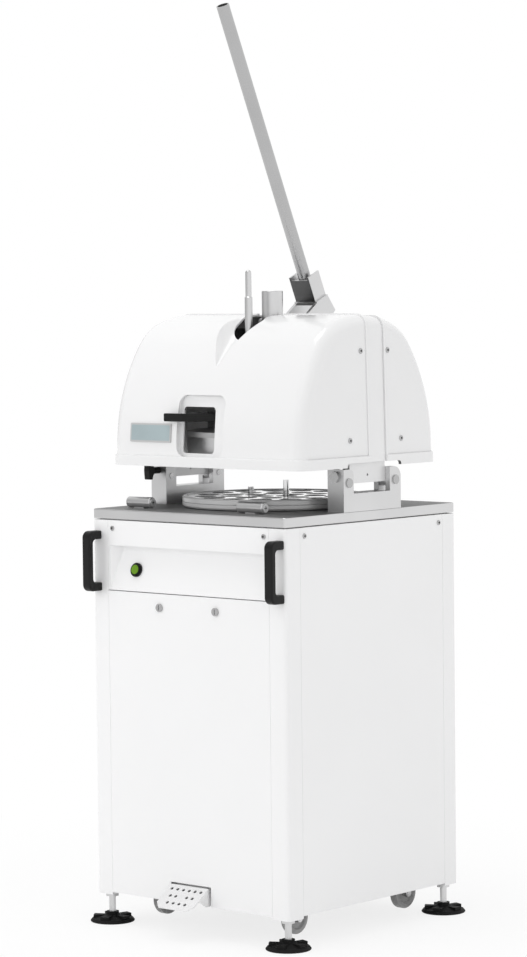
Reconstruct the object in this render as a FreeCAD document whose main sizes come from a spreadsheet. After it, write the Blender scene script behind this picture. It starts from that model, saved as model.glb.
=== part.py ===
import FreeCAD, Part
import math
import os

# Divider rounder on a sheet-metal cabinet. Millimetres, +Z up, front at -Y.
# Every piece is drawn about the cabinet's own centre line and then moved by SHIFT_Y,
# which puts the origin on the floor under the middle of the machine's outline.

DIMS = {
    # cabinet
    "cab_w": 600, "cab_d": 620, "tray_top": 982, "tray_rim": 22, "tray_corner": 10,
    "post_w": 50, "post_t": 2.5, "post_foot": 69, "panel_foot": 75, "panel_top": 957,
    "sheet_t": 2, "fold": 15, "seam": 0.5, "door_top": 791, "ring_sink": 15,
    # front fittings
    "handle_len": 142, "handle_w": 24, "handle_reach": 42, "handle_mid": 860,
    "bezel_r": 16.5, "cap_r": 11, "lock_r": 9.5,
    # feet and casters
    "foot_x": 275, "foot_y": 285, "pad_r": 52.5, "spindle_r": 8,
    "wheel_r": 37.5, "wheel_w": 22, "caster_at": 200, "trail": 24,
    # head brackets
    "ear_in": 252, "ear_reach": 104, "ear_top": 1080, "ear_pin_y": 84.5, "ear_pin_z": 1049,
    "ear_pin_r": 7, "tongue_t": 20,
    # moulding covers
    "cover_w": 590, "cover_d": 490, "cover_foot": 1083, "cover_t": 4, "cover_edge": 28,
    "spring_z": 1132, "flank_r": 400, "shoulder_r": 140, "lip": 4, "lip_h": 25,
    "band_front": 0, "band_rear": 56,
    # press and lever
    "column_r": 25, "column_top": 1489.5, "crown_r": 205, "crown_foot": 1086, "crown_h": 60,
    "lever_r": 15, "lever_bore": 12.5, "lever_lean": 24.2, "lever_top": 2150,
    "fork_pivot_y": 100, "fork_pivot_z": 1377,
    # moulding table
    "table_throw": 10, "ring_r": 218, "ring_foot": 984, "ring_h": 25, "pocket_r": 26,
    "shaft_r": 17.5, "pedal_shaft_r": 6, "spring_wire_r": 1.5, "spring_r": 10,
}

doc = FreeCAD.newDocument("divider_rounder")
sheet = doc.addObject("Spreadsheet::Sheet", "Dims")
for row, (alias, value) in enumerate(DIMS.items(), start=1):
    sheet.set(f"A{row}", alias)
    sheet.set(f"B{row}", str(value))
    sheet.setAlias(f"B{row}", alias)
doc.recompute()

NODES = {}
SIDES = (("left", -1), ("right", 1))
CORNERS = (("front_left", -1, -1), ("front_right", 1, -1), ("rear_left", -1, 1), ("rear_right", 1, 1))
UP = (0, 0, 1)


def vec(x, y, z):
    return FreeCAD.Vector(x, y, z)


def dim(alias):
    return float(sheet.get(alias))


def size_of(value):
    """A size is a number, or the alias of a driving dimension."""
    return dim(value) if isinstance(value, str) else float(value)


def set_size(obj, prop, value):
    """Sets a property, and binds it to the sheet when the size is a driving dimension."""
    setattr(obj, prop, size_of(value))
    if isinstance(value, str):
        obj.setExpression(prop, f"Dims.{value}")


def node(label, obj):
    obj.Label = label
    NODES[label] = obj
    return obj


# Primitives and booleans


def block(size, centre_xy, z0):
    """A box centred in plan on centre_xy, standing on z0."""
    obj = doc.addObject("Part::Box", "block")
    for prop, value in zip(("Length", "Width", "Height"), size):
        set_size(obj, prop, value)
    half_x, half_y = size_of(size[0]) / 2, size_of(size[1]) / 2
    obj.Placement.Base = vec(centre_xy[0] - half_x, centre_xy[1] - half_y, z0)
    return obj


def slab(low, high):
    """A box from its lowest to its highest corner."""
    obj = doc.addObject("Part::Box", "slab")
    obj.Length, obj.Width, obj.Height = (high[i] - low[i] for i in range(3))
    obj.Placement.Base = vec(*low)
    return obj


def cylinder(radius, height, base, axis=UP):
    obj = doc.addObject("Part::Cylinder", "cylinder")
    set_size(obj, "Radius", radius)
    set_size(obj, "Height", height)
    obj.Placement = FreeCAD.Placement(vec(*base), FreeCAD.Rotation(vec(*UP), vec(*axis)))
    return obj


def cone(radius1, radius2, height, base, axis=UP):
    obj = doc.addObject("Part::Cone", "cone")
    obj.Radius1, obj.Radius2, obj.Height = radius1, radius2, height
    obj.Placement = FreeCAD.Placement(vec(*base), FreeCAD.Rotation(vec(*UP), vec(*axis)))
    return obj


def fuse(*parts):
    obj = doc.addObject("Part::MultiFuse", "fuse")
    obj.Shapes = list(parts)
    obj.Refine = True
    return obj


def cut(base, *tools):
    obj = doc.addObject("Part::Cut", "cut")
    obj.Base = base
    obj.Tool = tools[0] if len(tools) == 1 else fuse(*tools)
    obj.Refine = True
    return obj


def common(first, second):
    obj = doc.addObject("Part::Common", "common")
    obj.Base, obj.Tool = first, second
    return obj


def group(*solids):
    obj = doc.addObject("Part::Compound", "group")
    obj.Links = list(solids)
    return obj


def rounded(base, radius, keep):
    """Fillets the edges of base for which keep(edge) is true."""
    doc.recompute()
    value = size_of(radius)
    obj = doc.addObject("Part::Fillet", "rounded")
    obj.Base = base
    obj.Edges = [(i + 1, value, value) for i, edge in enumerate(base.Shape.Edges) if keep(edge)]
    return obj


def upright(edge):
    """True for a straight edge along Z."""
    ends = [v.Point for v in edge.Vertexes]
    return len(ends) == 2 and abs(ends[0].x - ends[1].x) + abs(ends[0].y - ends[1].y) < 1e-6


def along_x(edge):
    ends = [v.Point for v in edge.Vertexes]
    return len(ends) == 2 and abs(ends[0].y - ends[1].y) + abs(ends[0].z - ends[1].z) < 1e-6


def along_y(edge):
    ends = [v.Point for v in edge.Vertexes]
    return len(ends) == 2 and abs(ends[0].x - ends[1].x) + abs(ends[0].z - ends[1].z) < 1e-6


# PartDesign bodies


def plane_of(body, role):
    return next(f for f in body.Origin.OriginFeatures if f.Role == role)


def outline(body, role, loops, offset=0.0):
    """A sketch on one of the body's own planes. A loop is a circle (x, y, r), or a list whose
    items are corners (x, y) and arcs (x, y, r, start, end) in degrees, joined by straight lines."""
    sketch = body.newObject("Sketcher::SketchObject", "outline")
    sketch.AttachmentSupport = [(plane_of(body, role), "")]
    sketch.MapMode = "FlatFace"
    sketch.AttachmentOffset = FreeCAD.Placement(vec(0, 0, offset), FreeCAD.Rotation())
    for loop in loops:
        if isinstance(loop, tuple):
            sketch.addGeometry(Part.Circle(vec(loop[0], loop[1], 0), vec(*UP), loop[2]), False)
        else:
            draw_loop(sketch, loop)
    return sketch


def draw_loop(sketch, items):
    ends = []
    for item in items:
        if len(item) == 2:
            ends.append((vec(*item, 0), vec(*item, 0)))
            continue
        x, y, r, start, end = item
        a0, a1 = math.radians(start), math.radians(end)
        first = vec(x + r * math.cos(a0), y + r * math.sin(a0), 0)
        last = vec(x + r * math.cos(a1), y + r * math.sin(a1), 0)
        circle = Part.Circle(vec(x, y, 0), vec(*UP), r)
        arc = Part.ArcOfCircle(circle, min(a0, a1), max(a0, a1))
        sketch.addGeometry(arc, False)
        ends.append((first, last))
    for here, after in zip(ends, ends[1:] + ends[:1]):
        if (here[1] - after[0]).Length > 1e-6:
            sketch.addGeometry(Part.LineSegment(here[1], after[0]), False)


def padded(role, loops, length, offset=0.0, midplane=False, backwards=False):
    """A body padded from an outline. YZ_Plane pads towards +X and XZ_Plane towards -Y."""
    body = doc.addObject("PartDesign::Body", "body")
    sketch = outline(body, role, loops, offset)
    pad = body.newObject("PartDesign::Pad", "pad")
    pad.Profile = sketch
    set_size(pad, "Length", length)
    pad.Midplane = midplane
    pad.Reversed = backwards
    body.Tip = pad
    return body


def pocketed(body, role, loops, length=None, offset=0.0, midplane=False, backwards=False):
    """Cuts an outline out of the body, right through when no length is given."""
    doc.recompute()
    before = body.Shape.Volume
    sketch = outline(body, role, loops, offset)
    pocket = body.newObject("PartDesign::Pocket", "pocket")
    pocket.Profile = sketch
    if length is None:
        pocket.Type = "ThroughAll"
    else:
        set_size(pocket, "Length", length)
    pocket.Midplane = midplane
    pocket.Reversed = backwards
    body.Tip = pocket
    doc.recompute()
    if body.Shape.Volume > before - 1e-3:
        raise RuntimeError(f"a pocket in {body.Name} cuts nothing")
    return pocket


def softened(body, radius, keep):
    """Fillets the body's edges for which keep(edge) is true."""
    doc.recompute()
    feature = body.newObject("PartDesign::Fillet", "fillet")
    names = [f"Edge{i + 1}" for i, edge in enumerate(body.Shape.Edges) if keep(edge)]
    feature.Base = (body.Group[-2], names)
    set_size(feature, "Radius", radius)
    body.Tip = feature
    return feature


def revolved(profile):
    """A body turned about Z from a profile in the XZ plane."""
    body = doc.addObject("PartDesign::Body", "body")
    sketch = outline(body, "XZ_Plane", [profile])
    turn = body.newObject("PartDesign::Revolution", "turn")
    turn.Profile = sketch
    turn.ReferenceAxis = (sketch, ["V_Axis"])
    turn.Angle = 360
    body.Tip = turn
    return body


def repeated(body, feature, count):
    """A polar pattern of one feature about the body's Z axis."""
    pattern = body.newObject("PartDesign::PolarPattern", "pattern")
    pattern.Originals = [feature]
    pattern.Axis = (plane_of(body, "Z_Axis"), [""])
    pattern.Angle = 360
    pattern.Occurrences = count
    body.Tip = pattern
    return pattern


def ring_points(radius, count, start=0.0):
    """Points spaced evenly round a circle, start in degrees."""
    turns = [math.radians(start + 360.0 * i / count) for i in range(count)]
    return [(radius * math.cos(t), radius * math.sin(t)) for t in turns]


HALF_W, HALF_D = dim("cab_w") / 2, dim("cab_d") / 2
TRAY_TOP = dim("tray_top")
TRAY_SKIN = 3.0
TABLE_AXIS_Y = -dim("table_throw")

# Pedal: the plate's rear edge stands just in front of the door and its nose is the foremost
# point of the machine, as the rims of the rear pads are the rearmost.
PEDAL_W, PEDAL_L, PEDAL_T = 115.0, 76.0, 3.0
PEDAL_SLOPE = 35.0
PEDAL_REAR = (-HALF_D - 2.0, 118.0)
PEDAL_PIVOT = (-285.0, 108.0)
PEDAL_GAP = 80.0
SPRING_Y, SPRING_FOOT, SPRING_TOP = -225.0, 107.0, 146.0
PEDAL_NOSE_Y = PEDAL_REAR[0] - PEDAL_L * math.cos(math.radians(PEDAL_SLOPE))
REAR_Y = dim("foot_y") + dim("pad_r")
SHIFT_Y = -(PEDAL_NOSE_Y + REAR_Y) / 2


# Cabinet


def rail_ring(half_x, half_y, width, z0, z1):
    """Four straight rails butted into a rectangle: front, rear, left and right."""
    height = z1 - z0
    across = [block((2 * half_x, width, height), (0, s * (half_y - width / 2)), z0) for s in (-1, 1)]
    along = [block((width, 2 * (half_y - width), height), (s * (half_x - width / 2), 0), z0) for s in (-1, 1)]
    return across + along


def corner_post(sx, sy):
    """An angle of folded sheet with a rounded outer corner."""
    t, w, r = dim("post_t"), dim("post_w"), dim("tray_corner")
    foot, height = dim("post_foot"), dim("panel_top") - dim("post_foot")
    centre = (sx * (HALF_W - w / 2), sy * (HALF_D - w / 2))
    at_corner = lambda edge, reach: upright(edge) and (
        abs(edge.Vertexes[0].Point.x * sx - HALF_W + reach) < 1e-6
        and abs(edge.Vertexes[0].Point.y * sy - HALF_D + reach) < 1e-6)
    outer = rounded(block(("post_w", "post_w", height), centre, foot), r, lambda e: at_corner(e, 0))
    hollow_at = (sx * (HALF_W - t - w / 2), sy * (HALF_D - t - w / 2))
    hollow = block((w, w, height + 2), hollow_at, foot - 1)
    hollow = rounded(hollow, r - t, lambda e: at_corner(e, t))
    return cut(outer, hollow)


def corner_plate(sx, sy, z0, z1):
    """A plate in the post's inner corner, under the ends of two rails."""
    t, r = dim("post_t"), dim("tray_corner")
    far_x, far_y = sx * (HALF_W - t), sy * (HALF_D - t)
    low = (min(far_x, sx * 252), min(far_y, sy * 262), z0)
    high = (max(far_x, sx * 252), max(far_y, sy * 262), z1)
    outer = lambda e: upright(e) and (abs(e.CenterOfMass.x - far_x) + abs(e.CenterOfMass.y - far_y) < 1e-6)
    return rounded(slab(low, high), r - t, outer)


def make_frame():
    """Welded frame: base, middle and top rings of rail on plates in the four corner posts, the
    plates that carry the casters, and the bridge over the pedal with the seat of its spring."""
    inner = dim("ring_sink")
    ring_x, ring_y = HALF_W - inner - 1, HALF_D - inner - 1
    gap, width = PEDAL_GAP, 30
    base_z, base_top = 78, 108
    shaft_bore = cylinder("pedal_shaft_r", 2 * (gap + 18), (-gap - 18, *PEDAL_PIVOT), (1, 0, 0))
    foot_x, foot_y = dim("foot_x"), dim("foot_y")
    spindle_bores = [cylinder("spindle_r", 60, (sx * foot_x, sy * foot_y, 60)) for _, sx, sy in CORNERS]
    holes = fuse(shaft_bore, *spindle_bores)
    _, rear_rail, *side_rails = rail_ring(ring_x, ring_y, width, base_z, base_top)
    drilled, plain = [rear_rail], side_rails
    for s in (-1, 1):
        middle = s * (gap + ring_x) / 2
        drilled.append(block((ring_x - gap, width, base_top - base_z), (middle, -ring_y + width / 2), base_z))
        drilled.append(block((20, width, 28), (s * (gap + 10), -ring_y + width / 2), base_top))
    plain.append(block((2 * gap + 40, width, 14), (0, -ring_y + width / 2), 136))
    plain.append(slab((-22, -ring_y + width, SPRING_TOP), (22, SPRING_Y + 20, SPRING_TOP + 4)))
    plain += rail_ring(ring_x, ring_y, 26, 680, 700)
    plain += rail_ring(ring_x, ring_y, 24, 930, TRAY_TOP - TRAY_SKIN)
    for _, sx, sy in CORNERS:
        plain.append(corner_post(sx, sy))
        drilled.append(corner_plate(sx, sy, dim("post_foot"), base_z))
        plain.append(corner_plate(sx, sy, 672, 680))
        plain.append(corner_plate(sx, sy, 922, 930))
    for sx in (-1, 1):
        plain.append(block((70, 2 * (ring_y - width), 6), (sx * dim("caster_at"), 0), 100))
    node("frame", group(*plain, *[cut(part, holes) for part in drilled]))


def pan(width, low_z, high_z, depth):
    """A sheet panel folded back on its four edges, its face at y=0 and open towards +Y."""
    t = dim("sheet_t")
    outer = slab((-width / 2, 0, low_z), (width / 2, depth, high_z))
    hollow = slab((-width / 2 + t, t, low_z + t), (width / 2 - t, depth + 1, high_z - t))
    return outer, hollow


def turned(obj, angle, shift):
    obj.Placement = FreeCAD.Placement(vec(*shift), FreeCAD.Rotation(vec(*UP), angle))
    return obj


PEDAL_SLOT_TOP = PEDAL_REAR[1] + 3.0


def sheet_panel(width, low_z, high_z, tools, notch=0.0):
    """A folded panel as butted sheets, its face at y=0 and its folds towards +Y. The notch is the
    half width that its lower fold leaves free in the middle."""
    t, depth, half = dim("sheet_t"), dim("fold"), width / 2
    sheets = [cut(slab((-half, 0, low_z), (half, t, high_z)), *tools)]
    for s in (-1, 1):
        edge = s * (half - t / 2)
        sheets.append(slab((edge - t / 2, t, low_z), (edge + t / 2, depth, high_z)))
    sheets.append(slab((-half + t, t, high_z - t), (half - t, depth, high_z)))
    if notch:
        sheets.append(slab((-half + t, t, low_z), (-notch, depth, low_z + t)))
        sheets.append(slab((notch, t, low_z), (half - t, depth, low_z + t)))
    else:
        sheets.append(slab((-half + t, t, low_z), (half - t, depth, low_z + t)))
    return group(*sheets)


def make_panels():
    seam = dim("seam")
    front_w = dim("cab_w") - 2 * (dim("post_w") + seam)
    side_w = dim("cab_d") - 2 * (dim("post_w") + seam)
    low, top = dim("panel_foot"), dim("panel_top")

    def screw_holes(half):
        return [cylinder(3.1, 6, (s * half, -1, 938), (0, 1, 0)) for s in (-1, 1)]

    for name, s in SIDES:
        panel = sheet_panel(side_w, low, top, screw_holes(245))
        node(f"{name}_side_panel", turned(panel, 90 * s, (s * HALF_W, 0, 0)))
    vents = [slab((x - 45, -1, z), (x + 45, 5, z + 8)) for x in (-120, 0, 120) for z in range(560, 681, 24)]
    rear = sheet_panel(front_w, low, top, screw_holes(235) + vents)
    node("rear_panel", turned(rear, 180, (0, HALF_D, 0)))

    notch = PEDAL_W / 2 + 5
    slot = slab((-notch, -1, low - 1), (notch, 5, PEDAL_SLOT_TOP))
    locks = [cylinder(8.5, 5, (x, -1, 759), (0, 1, 0)) for x in (-87, 87)]
    door = sheet_panel(front_w, low, dim("door_top"), [slot] + locks, notch)
    node("front_door", turned(door, 0, (0, -HALF_D, 0)))


# The console's display shelf: a pocket deepest under its ledge, running out to the face.
CONSOLE_FOOT, LEDGE_Z, SHELF_Z, SHELF_DEPTH = 793.0, 898.0, 885.0, 22.0


def shelf_tool(grow):
    obj = doc.addObject("Part::Wedge", "shelf")
    obj.Xmin, obj.Xmax, obj.Zmin, obj.Zmax = -242 - grow, 242 + grow, CONSOLE_FOOT + 2 - grow, LEDGE_Z + grow
    obj.X2min, obj.X2max, obj.Z2min, obj.Z2max = -222 - grow, 222 + grow, SHELF_Z, LEDGE_Z - 2 + grow
    obj.Ymin, obj.Ymax = 0, SHELF_DEPTH + grow
    obj.Placement.Base = vec(0, -HALF_D, 0)
    return obj


BUTTON_X, BUTTON_Z = -168.0, 842.0
SHELF_LEAN = math.atan2(SHELF_DEPTH, SHELF_Z - CONSOLE_FOOT - 2)
BUTTON_OUT = (0, -math.cos(SHELF_LEAN), math.sin(SHELF_LEAN))
BUTTON_AT = (BUTTON_X, -HALF_D + (BUTTON_Z - CONSOLE_FOOT - 2) * math.tan(SHELF_LEAN), BUTTON_Z)


def on_button(distance):
    return tuple(BUTTON_AT[i] + BUTTON_OUT[i] * distance for i in range(3))


def make_console():
    t, seam, fold = dim("sheet_t"), dim("seam"), dim("fold")
    width = dim("cab_w") - 2 * (dim("post_w") + seam)
    outer, hollow = pan(width, CONSOLE_FOOT, dim("panel_top"), fold)
    face = cut(outer, hollow)
    face.Placement.Base = vec(0, -HALF_D, 0)
    skin = fuse(face, cut(shelf_tool(t), slab((-260, -HALF_D - 9, 700), (260, -HALF_D, 999))))
    holes = [cylinder(3.1, 6, (s * 235, -HALF_D - 1, 938), (0, 1, 0)) for s in (-1, 1)]
    holes.append(cylinder(12.5, 30, on_button(-20), BUTTON_OUT))
    node("console_panel", cut(skin, shelf_tool(0), *holes))

    flange = cylinder("bezel_r", 5, on_button(0), BUTTON_OUT)
    barrel = cylinder(12.4, 24, on_button(-22), BUTTON_OUT)
    rim = cylinder(14, 3, on_button(5), BUTTON_OUT)
    bezel = cut(fuse(flange, barrel, rim), cylinder(11.3, 40, on_button(-18), BUTTON_OUT))
    node("button_bezel", bezel)
    cap = cylinder("cap_r", 18, on_button(-8.5), BUTTON_OUT)
    pressed_rim = lambda e: len(e.Vertexes) == 1 and e.CenterOfMass.y < BUTTON_AT[1] - 5
    node("start_button", rounded(cap, 1.5, pressed_rim))


def make_tray():
    """Folded tray: a flat top with a downturned rim and a round hole for the table's neck."""
    r = dim("tray_corner")
    w, d, rim = dim("cab_w"), dim("cab_d"), dim("tray_rim")
    outer = rounded(block(("cab_w", "cab_d", "tray_rim"), (0, 0), TRAY_TOP - rim), r, upright)
    crest = lambda e: e.CenterOfMass.z > TRAY_TOP - 0.1
    outer = rounded(outer, 2.5, crest)
    hollow = block((w - 6, d - 6, rim), (0, 0), TRAY_TOP - rim - TRAY_SKIN)
    hollow = rounded(hollow, r - 3, upright)
    node("tray", cut(outer, hollow, cylinder(140, 30, (0, TABLE_AXIS_Y, TRAY_TOP - 25))))


def make_handles():
    """Bridge handles: a bow in one profile, wide at its two feet."""
    half, reach, w = dim("handle_len") / 2, dim("handle_reach"), dim("handle_w")
    mid, face = dim("handle_mid"), -HALF_D
    grip, leg, r_out, r_in = 15.0, 20.0, 16.0, 10.0
    bow = [(face, mid - half), (face, mid + half),
           (face - reach + r_out, mid + half - r_out, r_out, 90, 180),
           (face - reach + r_out, mid - half + r_out, r_out, 180, 270)]
    gap_y, gap_z = face - reach + grip, half - leg
    gap = [(face + 1, mid - gap_z), (face + 1, mid + gap_z),
           (gap_y + r_in, mid + gap_z - r_in, r_in, 90, 180),
           (gap_y + r_in, mid - gap_z + r_in, r_in, 180, 270)]
    for name, s in SIDES:
        body = padded("YZ_Plane", [bow], "handle_w", offset=s * 283 - w / 2)
        pocketed(body, "YZ_Plane", [gap], 60, offset=s * 283, midplane=True)
        softened(body, 4.0, lambda e: abs(e.CenterOfMass.y - face) > 1.0 and not along_x(e))
        node(f"{name}_handle", body)


def screw(x, y, z, out, head=6.0, shank=3.0):
    """A pan-head screw seated on a face at x, y, z, its head towards out."""
    back = tuple(-5 * c for c in out)
    start = (x + back[0], y + back[1], z + back[2])
    top = cylinder(head, 2.6, (x, y, z), out)
    return fuse(rounded(top, 1.6, lambda e: len(e.Vertexes) == 1 and abs(
        (e.CenterOfMass - vec(x, y, z)).Length - 2.6) < 0.01), cylinder(shank, 5, start, out))


def make_panel_screws():
    z = 938
    screws = [screw(s * 235, -HALF_D, z, (0, -1, 0)) for s in (-1, 1)]
    screws += [screw(s * 235, HALF_D, z, (0, 1, 0)) for s in (-1, 1)]
    screws += [screw(sx * HALF_W, sy * 245, z, (sx, 0, 0)) for sx in (-1, 1) for sy in (-1, 1)]
    node("panel_screws", group(*screws))


def make_locks():
    """Quarter-turn locks of the service door: a slotted head, a shank and a cam behind."""
    z = 759
    for name, s in SIDES:
        x = s * 87
        head = cylinder("lock_r", 4, (x, -HALF_D - 4.2, z), (0, 1, 0))
        shank = cylinder(8.4, 9, (x, -HALF_D - 0.2, z), (0, 1, 0))
        slot = block((3, 4, 12), (x, -HALF_D - 4), z - 6)
        cam = slab((x - 7, -HALF_D + 5, z - 7), (x + 7, -HALF_D + 8.5, z + 24))
        node(f"{name}_door_lock", fuse(cut(head, slot), shank, cam))


# Feet and casters


def make_feet():
    """Levelling feet: a ribbed pad with a socketed hub, and a threaded spindle with its nut."""
    pad_r, hub_r, pad_h = dim("pad_r"), 15.0, 24.0
    spindles = []
    for name, sx, sy in CORNERS:
        rim = [(0, 0), (pad_r - 3, 0), (pad_r - 3, 3, 3, -90, 0), (pad_r - 4, 8), (hub_r + 6, 15),
               (hub_r, 18), (hub_r, pad_h), (9, pad_h), (9, 12), (0, 12)]
        body = revolved(rim)
        web = [(hub_r - 2, -7), (pad_r - 8, -11), (pad_r - 8, 11), (hub_r - 2, 7)]
        rib = outline(body, "XY_Plane", [web], 4)
        rise = body.newObject("PartDesign::Pad", "rib")
        rise.Profile = rib
        rise.Length = 12
        body.Tip = rise
        repeated(body, rise, 5)
        body.Placement.Base = vec(sx * dim("foot_x"), sy * dim("foot_y"), 0)
        node(f"{name}_foot", body)
        x, y = sx * dim("foot_x"), sy * dim("foot_y")
        spindle = cylinder("spindle_r", 83, (x, y, 12))
        collar = cylinder(8.9, 12, (x, y, 12.1))
        nut = block((24, 24, 9), (x, y), 60)
        spindles.append(fuse(spindle, collar, rounded(nut, 5, upright)))
    node("foot_spindles", group(*spindles))


def make_casters():
    """Swivel casters just clear of the floor, ready for when the feet are wound up."""
    r, w, trail, at = dim("wheel_r"), dim("wheel_w"), dim("trail"), dim("caster_at")
    axle_z, crown_z = r + 10, 90.0
    cheek = 3.0
    for name, sx, sy in CORNERS:
        x, y = sx * at, sy * at
        axle_y = y + trail
        head = block((w + 8 + 2 * cheek, 46, 4), (x, y + 4), crown_z)
        crown = fuse(head, cylinder(22, 9.7, (x, y, crown_z)))
        cheeks = []
        for s in (-1, 1):
            plate = [(-19, crown_z + 2), (27, crown_z + 2), (trail, axle_z, 9, 0, -180)]
            arm = padded("YZ_Plane", [plate], cheek, offset=s * (w / 2 + 4 + cheek / 2) - cheek / 2)
            arm.Placement.Base = vec(x, y, 0)
            cheeks.append(arm)
        axle = cylinder(5, w + 8 + 2 * cheek + 4, (x - w / 2 - 6 - cheek, axle_y, axle_z), (1, 0, 0))
        fork = fuse(crown, *cheeks, axle)
        node(f"{name}_caster_fork", fork)
        tread = rounded(cylinder("wheel_r", "wheel_w", (x - w / 2, axle_y, axle_z), (1, 0, 0)), 4,
                        lambda e: len(e.Vertexes) == 1)
        dish = [cone(27, 23, 5, (x + s * w / 2, axle_y, axle_z), (-s, 0, 0)) for s in (-1, 1)]
        hub = cylinder(9, w + 4, (x - w / 2 - 2, axle_y, axle_z), (1, 0, 0))
        bore = cylinder(5.06, w + 20, (x - w / 2 - 10, axle_y, axle_z), (1, 0, 0))
        node(f"{name}_wheel", cut(fuse(cut(tread, *dish), hub), bore))


def make_pedal():
    """Foot pedal: a perforated plate folded down at both sides, on a cross shaft in the frame."""
    py, pz = PEDAL_PIVOT
    half, cut_corner = PEDAL_W / 2, 15.0
    rim = [(-half, 0), (half, 0), (half, -PEDAL_L + cut_corner), (half - cut_corner, -PEDAL_L),
           (-half + cut_corner, -PEDAL_L), (-half, -PEDAL_L + cut_corner)]
    plate = padded("XY_Plane", [rim], PEDAL_T)
    rows = ((-14, (-45, -27, -9, 9, 27, 45)), (-36, (-34, -17, 17, 34)), (-58, (-27, -9, 9, 27)))
    holes = [(x, y, 4.2) for y, xs in rows for x in xs]
    pocketed(plate, "XY_Plane", holes, 20, offset=8, midplane=True)
    lean = FreeCAD.Rotation(vec(1, 0, 0), PEDAL_SLOPE)
    plate.Placement = FreeCAD.Placement(vec(0, PEDAL_REAR[0], PEDAL_REAR[1] - PEDAL_T), lean)
    cheeks = []
    rear_y, rear_z = PEDAL_REAR
    for s in (-1, 1):
        side = [(rear_y - 34, rear_z - 26), (rear_y + 1, rear_z - 2.5), (py + 10, rear_z - 2.5),
                (py + 10, pz - 10), (rear_y + 4, rear_z - 42), (rear_y - 8, rear_z - 42)]
        cheeks.append(padded("YZ_Plane", [side], PEDAL_T, offset=s * (half - PEDAL_T / 2) - PEDAL_T / 2))
    arm = slab((-20, py - 10, pz - 9), (20, py + 66, pz - 1))
    bridge = slab((-half, py - 4, pz - 9), (half, py + 10, pz - 1))
    hub = cylinder(9, PEDAL_W, (-half, py, pz), (1, 0, 0))
    bore = cylinder(6.05, PEDAL_W + 2, (-half - 1, py, pz), (1, 0, 0))
    node("pedal", cut(fuse(plate, *cheeks, arm, bridge, hub), bore))
    shaft = cylinder("pedal_shaft_r", 2 * (PEDAL_GAP + 18), (-PEDAL_GAP - 18, py, pz), (1, 0, 0))
    collars = [cylinder(10, 6, (x, py, pz), (1, 0, 0)) for x in (-half - 7, half + 1)]
    node("pedal_shaft", fuse(shaft, *collars))

    wire, coil = dim("spring_wire_r"), dim("spring_r")
    rise, turns = SPRING_TOP - SPRING_FOOT - 2 * wire - 0.2, 5
    helix = Part.makeHelix(rise / turns, rise, coil)
    section = Part.Wire(Part.makeCircle(wire, vec(coil, 0, 0), vec(0, 1, 0)))
    spring = doc.addObject("Part::Feature", "spring")
    spring.Shape = Part.Wire(helix).makePipeShell([section], True, True)
    spring.Placement.Base = vec(0, SPRING_Y, SPRING_FOOT + wire + 0.1)
    node("pedal_spring", spring)


# Head brackets


def make_uprights():
    """The two forked blocks on the tray in which the head hangs."""
    inner, reach, top = dim("ear_in"), dim("ear_reach"), dim("ear_top")
    pin_y, pin_z = dim("ear_pin_y"), dim("ear_pin_z")
    saddle = TRAY_TOP + 42
    width = HALF_W - inner
    slot_w = dim("tongue_t") + 1
    for name, s in SIDES:
        profile = [(-reach, TRAY_TOP), (reach, TRAY_TOP), (reach - 24, top - 24, 24, 0, 90), (64, top),
                   (64, saddle), (-68, saddle), (-68 - 14, top - 14, 14, 0, 90), (-reach, top)]
        start = inner if s > 0 else -HALF_W
        body = padded("YZ_Plane", [profile], width, offset=start)
        mid = s * (inner + width / 2)
        forks = [slab((mid - slot_w / 2, -96, saddle - 8), (mid + slot_w / 2, -60, top + 9)),
                 slab((mid - slot_w / 2, 56, saddle - 8), (mid + slot_w / 2, reach + 9, top + 9))]
        bores = [cylinder("ear_pin_r", width + 2, (s * (inner - 1), t * pin_y, pin_z), (s, 0, 0))
                 for t in (-1, 1)]
        bores.append(cylinder(6, 14, (mid, -reach - 5, 1063), (0, 1, 0)))
        node(f"{name}_upright", cut(body, *forks, *bores))
    pins = []
    for _, s in SIDES:
        for t in (-1, 1):
            pin = cylinder("ear_pin_r", width + 1, (s * (inner - 1), t * pin_y, pin_z), (s, 0, 0))
            head = rounded(cylinder(11, 3.5, (s * HALF_W, t * pin_y, pin_z), (s, 0, 0)), 1.2,
                           lambda e: len(e.Vertexes) == 1 and abs(e.CenterOfMass.x) > HALF_W + 3)
            pins.append(fuse(pin, head))
    stop = padded("XZ_Plane", [ring_points(13.8, 6)], 7, offset=reach)
    stop.Placement.Base = vec(inner + width / 2, 0, 1063)
    stop_shank = cylinder(5.9, 8, (inner + width / 2, -reach, 1063), (0, 1, 0))
    pins.append(fuse(stop, stop_shank))
    node("bracket_pins", group(*pins))


def make_clamp_knob():
    """Wing knob on the left bracket, with its stem and threaded end."""
    x, z, face = -(dim("ear_in") + 24), 1063, -dim("ear_reach")
    stem = cylinder(5.9, 7.8, (x, face + 7.8, z), (0, -1, 0))
    neck = cylinder(8, 24, (x, face, z), (0, -1, 0))
    wing = padded("YZ_Plane", [[(face - 24, z - 8), (face - 24, z + 8), (face - 28, z + 12),
                                (face - 30, z + 21), (face - 41, z + 21), (face - 43, z), (face - 41, z - 21),
                                (face - 30, z - 21), (face - 28, z - 12)]], 16, offset=x - 8)
    softened(wing, 3, along_x)
    node("clamp_knob", fuse(stem, neck, wing))


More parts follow.
